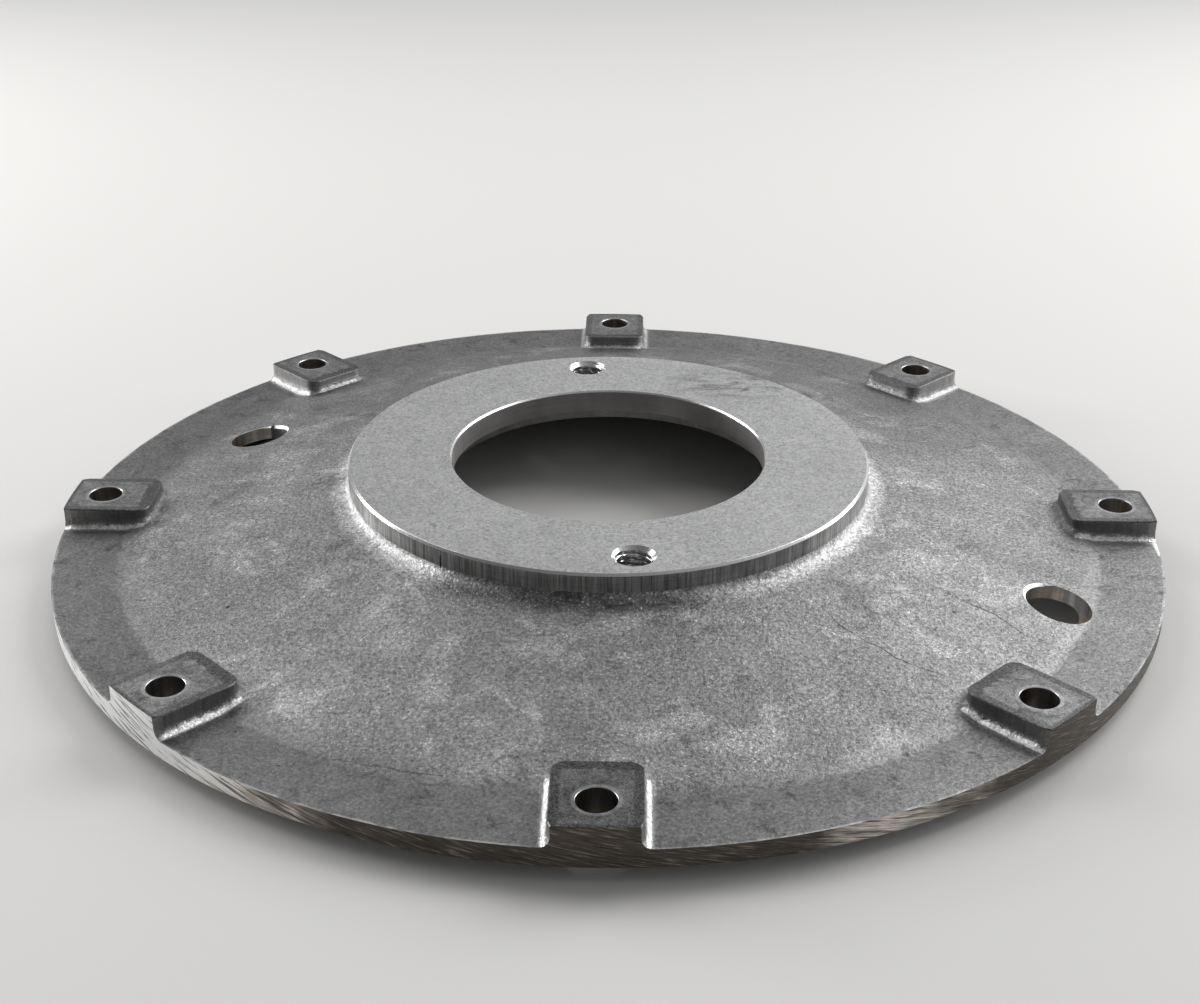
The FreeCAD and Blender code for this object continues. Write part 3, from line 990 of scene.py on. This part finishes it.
def drilled_wall():
    """Walls of the plain holes: dull in the pads, lighter in the dish, with brownish patches painted as a
    reflection of a brown floor, and lighter towards the right as a painted reflection.
    """
    g = Graph("drilled_wall")
    place, x, y, z, radius = g.position()
    bands = g.noise(g.scaled(x, y, z, 330.0, 330.0, 20.0), 1.0, 3.0, 0.6)
    spiral = g.noise(g.scaled(x, y, z, 60.0, 60.0, 2400.0), 1.0, 2.0, 0.6)
    in_dish = g.ramp(radius, 158.6 * MM, 159.6 * MM, 1.0, 0.0)
    tone = g.mul(g.mix(in_dish, 0.26, 0.5), g.swing(bands, 2.4), g.swing(spiral, 0.5))
    # Painted reflection: lighter from the right hole's right side outwards.
    tone = g.mul(tone, g.ramp(x, 134.0 * MM, 144.0 * MM, 1.0, 1.4))
    # Brownish patches: a painted reflection of a brown floor.
    brown_floor_reflection = g.ramp(g.noise(place, 160.0, 2.0, 0.5), 0.42, 0.58, 0.0, 0.14)
    g.bump(g.add(spiral, bands), 0.05 * MM)
    return g.finish(g.grey(tone, brown_floor_reflection), 0.36)


def machined_underside():
    """Faced and bored seats below: the housing face, the register and the hub's back."""
    g = Graph("machined_underside")
    place, x, y, z, radius = g.position()
    rings = g.noise(g.scaled(x, y, g.add(radius, z), 9.0, 9.0, 2200.0), 1.0, 2.0, 0.6)
    clouds = g.noise(place, 40.0, 4.0, 0.6)
    g.bump(rings, 0.02 * MM)
    return g.finish(g.grey(g.mul(0.5, g.swing(clouds, 0.2), g.swing(rings, 0.16))), 0.33)


MAKERS = (
    cast_skin,
    cast_fillet,
    pad_wall_and_shade,
    pad_top,
    hub_face,
    hub_side,
    bright_cut,
    hole_lip,
    bore_wall,
    turned_edge,
    drilled_wall,
    machined_underside,
)
SURFACES = [maker.__name__ for maker in MAKERS]


def surface_kinds(mesh):
    """For each face, the place in SURFACES of the way it was made."""
    count = len(mesh.polygons)
    centres, normals = np.empty(count * 3), np.empty(count * 3)
    mesh.polygons.foreach_get("center", centres)
    mesh.polygons.foreach_get("normal", normals)
    x, y, z = centres.reshape(-1, 3).T
    up = normals.reshape(-1, 3)[:, 2]
    radius = np.hypot(x, y)
    over_dish = z - dish_height(radius)
    upright = abs(up) < 0.5
    slanting = (up > 0.1) & (up < 0.99)
    kind = np.zeros(count, dtype=np.int32)

    def paint(name, where):
        kind[where] = SURFACES.index(name)

    def near(middle, reach):
        return np.hypot(x - middle[0], y - middle[1]) < reach

    ring = radius > PAD_INNER - PAD_FILLET - 1 * MM
    over_rim = z > RIM_TOP + 0.12 * MM
    paint("cast_fillet", ring & over_rim & (over_dish > 0.05 * MM) & (up < 0.93) & (up > 0.2))
    paint("pad_wall_and_shade", ring & over_rim & (abs(up) <= 0.2))
    paint("pad_top", ring & (z > PAD_TOP - 0.3 * MM) & (up > 0.6))
    paint("hub_side", (abs(radius - HUB_RADIUS) < 0.7 * MM) & (z > HUB_ROOT + 2.4 * MM))
    paint("hub_face", (z > HUB_TOP - 0.02 * MM) & (up > 0.9))
    at_hub_edge = (radius > HUB_RADIUS - 0.8 * MM) & (z > HUB_TOP - 0.75 * MM)
    paint("bright_cut", at_hub_edge & slanting)
    below_rim = z < RIM_BOTTOM + 0.05 * MM
    outside_register = radius > REGISTER_RADIUS - 1.2 * MM
    paint("machined_underside", below_rim & (outside_register | (up < -0.9)))
    at_register = abs(radius - REGISTER_RADIUS) < 0.1 * MM
    paint("machined_underside", at_register & (z < RIM_BOTTOM + 0.2 * MM))
    paint("machined_underside", (radius < UNDERSIDE_INNER) & (z < LAND_BOTTOM + 0.2 * MM))
    # Painted shade: the relief wall below the bore gets the dark cast skin of the pad sides.
    paint("pad_wall_and_shade", (abs(radius - RELIEF_RADIUS) < 0.3 * MM) & upright)
    paint("bore_wall", (radius < BORE_RADIUS + 0.2 * MM) & upright)
    at_bore_edge = (radius < BORE_RADIUS + 0.8 * MM) & (z > HUB_TOP - 0.7 * MM)
    paint("bright_cut", at_bore_edge & slanting)
    paint("turned_edge", (abs(radius - RIM_RADIUS) < 0.15 * MM) & (abs(up) < 0.3))
    for index in range(PAD_COUNT):
        middle = at_angle(HOUSING_BOLT_CIRCLE, index * PAD_PITCH)
        inside = near(middle, HOUSING_BOLT_RADIUS + 0.5 * MM)
        paint("drilled_wall", inside & upright)
        paint("hub_face", inside & (up > 0.5) & (up < 0.95))
    for degrees in TAPPED_ANGLES:
        inside = near(at_angle(TAPPED_CIRCLE, degrees), TAPPED_SINK + 0.1 * MM)
        paint("bright_cut", inside & (up < 0.95) & (up > -0.9))
    for hole in DRILLED_HOLES:
        inside = near(at_angle(*hole), DRILLED_RADIUS + 1.6 * MM)
        paint("drilled_wall", inside & upright)
        paint("hole_lip", inside & (up > 0.5) & (up < 0.8))
        at_edge = near(at_angle(*hole), DRILLED_RADIUS + 0.33 * MM)
        paint("hole_lip", at_edge & (up < 0.9) & (over_dish > -0.3 * MM))
    # Painted shade: the nick's walls get the dark cast skin so that the slot reads darker.
    nick = at_angle(*DRILLED_HOLES[1]) + at_angle(DRILLED_RADIUS + 0.3 * MM, NICK_DEGREES)
    paint("pad_wall_and_shade", near(nick, 0.6 * MM) & (up < 0.96))
    return kind


def add_casting():
    """The dressed flange, which stands for the CAD node."""
    casting = casting_mesh()
    mesh = casting.data
    roughen(mesh)
    mesh.materials.clear()
    for maker in MAKERS:
        mesh.materials.append(maker())
    mesh.polygons.foreach_set("material_index", surface_kinds(mesh))
    mesh.polygons.foreach_set("use_smooth", [True] * len(mesh.polygons))
    mesh.set_sharp_from_angle(angle=math.radians(SHARP_ANGLE))
    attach(casting, "root")
    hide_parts("mounting_flange")


def add_camera():
    data = bpy.data.cameras.new("camera")
    data.sensor_fit = "HORIZONTAL"
    data.sensor_width = 36.0
    data.lens = CAMERA_LENS
    data.clip_start = 0.01
    turn = Matrix.Identity(3)
    for axis, degrees in CAMERA_TURNS:
        turn = turn @ Matrix.Rotation(math.radians(degrees), 3, axis)
    right, forward, up = (turn @ Vector(axis) for axis in ((1, 0, 0), (0, 1, 0), (0, 0, 1)))
    item = bpy.data.objects.new("camera", data)
    rows = Matrix((right, up, -forward)).transposed().to_4x4()
    item.matrix_world = Matrix.Translation(CAMERA_PLACE) @ rows
    bpy.context.scene.collection.objects.link(item)
    bpy.context.scene.camera = item


def add_floor():
    mesh = bpy.data.meshes.new("floor")
    made = bmesh.new()
    bmesh.ops.create_grid(made, x_segments=1, y_segments=1, size=FLOOR_HALF_WIDTH)
    made.to_mesh(mesh)
    made.free()
    item = bpy.data.objects.new("floor", mesh)
    bpy.context.scene.collection.objects.link(item)
    mesh.materials.append(Graph("pale_floor", metallic=0.0).finish(FLOOR_COLOUR, FLOOR_ROUGHNESS))


def add_world():
    """Soft studio light, brighter behind the object than in front of it, and to its right."""
    world = bpy.data.worlds.new("studio")
    world.use_nodes = True
    tree = world.node_tree
    background = tree.nodes["Background"]
    coordinates = tree.nodes.new("ShaderNodeTexCoord")
    split = tree.nodes.new("ShaderNodeSeparateXYZ")
    tree.links.new(coordinates.outputs["Generated"], split.inputs[0])
    product = tree.nodes.new("ShaderNodeMath")
    product.operation = "MULTIPLY"
    for socket, (axis, span) in zip(product.inputs, SKY_RAMPS):
        level = tree.nodes.new("ShaderNodeMapRange")
        tree.links.new(split.outputs[axis], level.inputs["Value"])
        for name, value in zip(("From Min", "From Max", "To Min", "To Max"), span):
            level.inputs[name].default_value = value
        tree.links.new(level.outputs["Result"], socket)
    tree.links.new(product.outputs[0], background.inputs["Strength"])
    background.inputs["Color"].default_value = SKY_COLOUR
    bpy.context.scene.world = world


def add_lamp(name, place, aim, size, power):
    lamp = bpy.data.lights.new(name, "AREA")
    lamp.shape = "RECTANGLE"
    lamp.size, lamp.size_y = size
    lamp.energy = power
    item = bpy.data.objects.new(name, lamp)
    item.location = place
    item.rotation_euler = (Vector(aim) - Vector(place)).to_track_quat("-Z", "Y").to_euler()
    bpy.context.scene.collection.objects.link(item)


add_camera()
add_floor()
add_world()
for name, settings in LAMPS.items():
    add_lamp(name, *settings)
add_casting()

bpy.context.scene.view_settings.view_transform = "Standard"
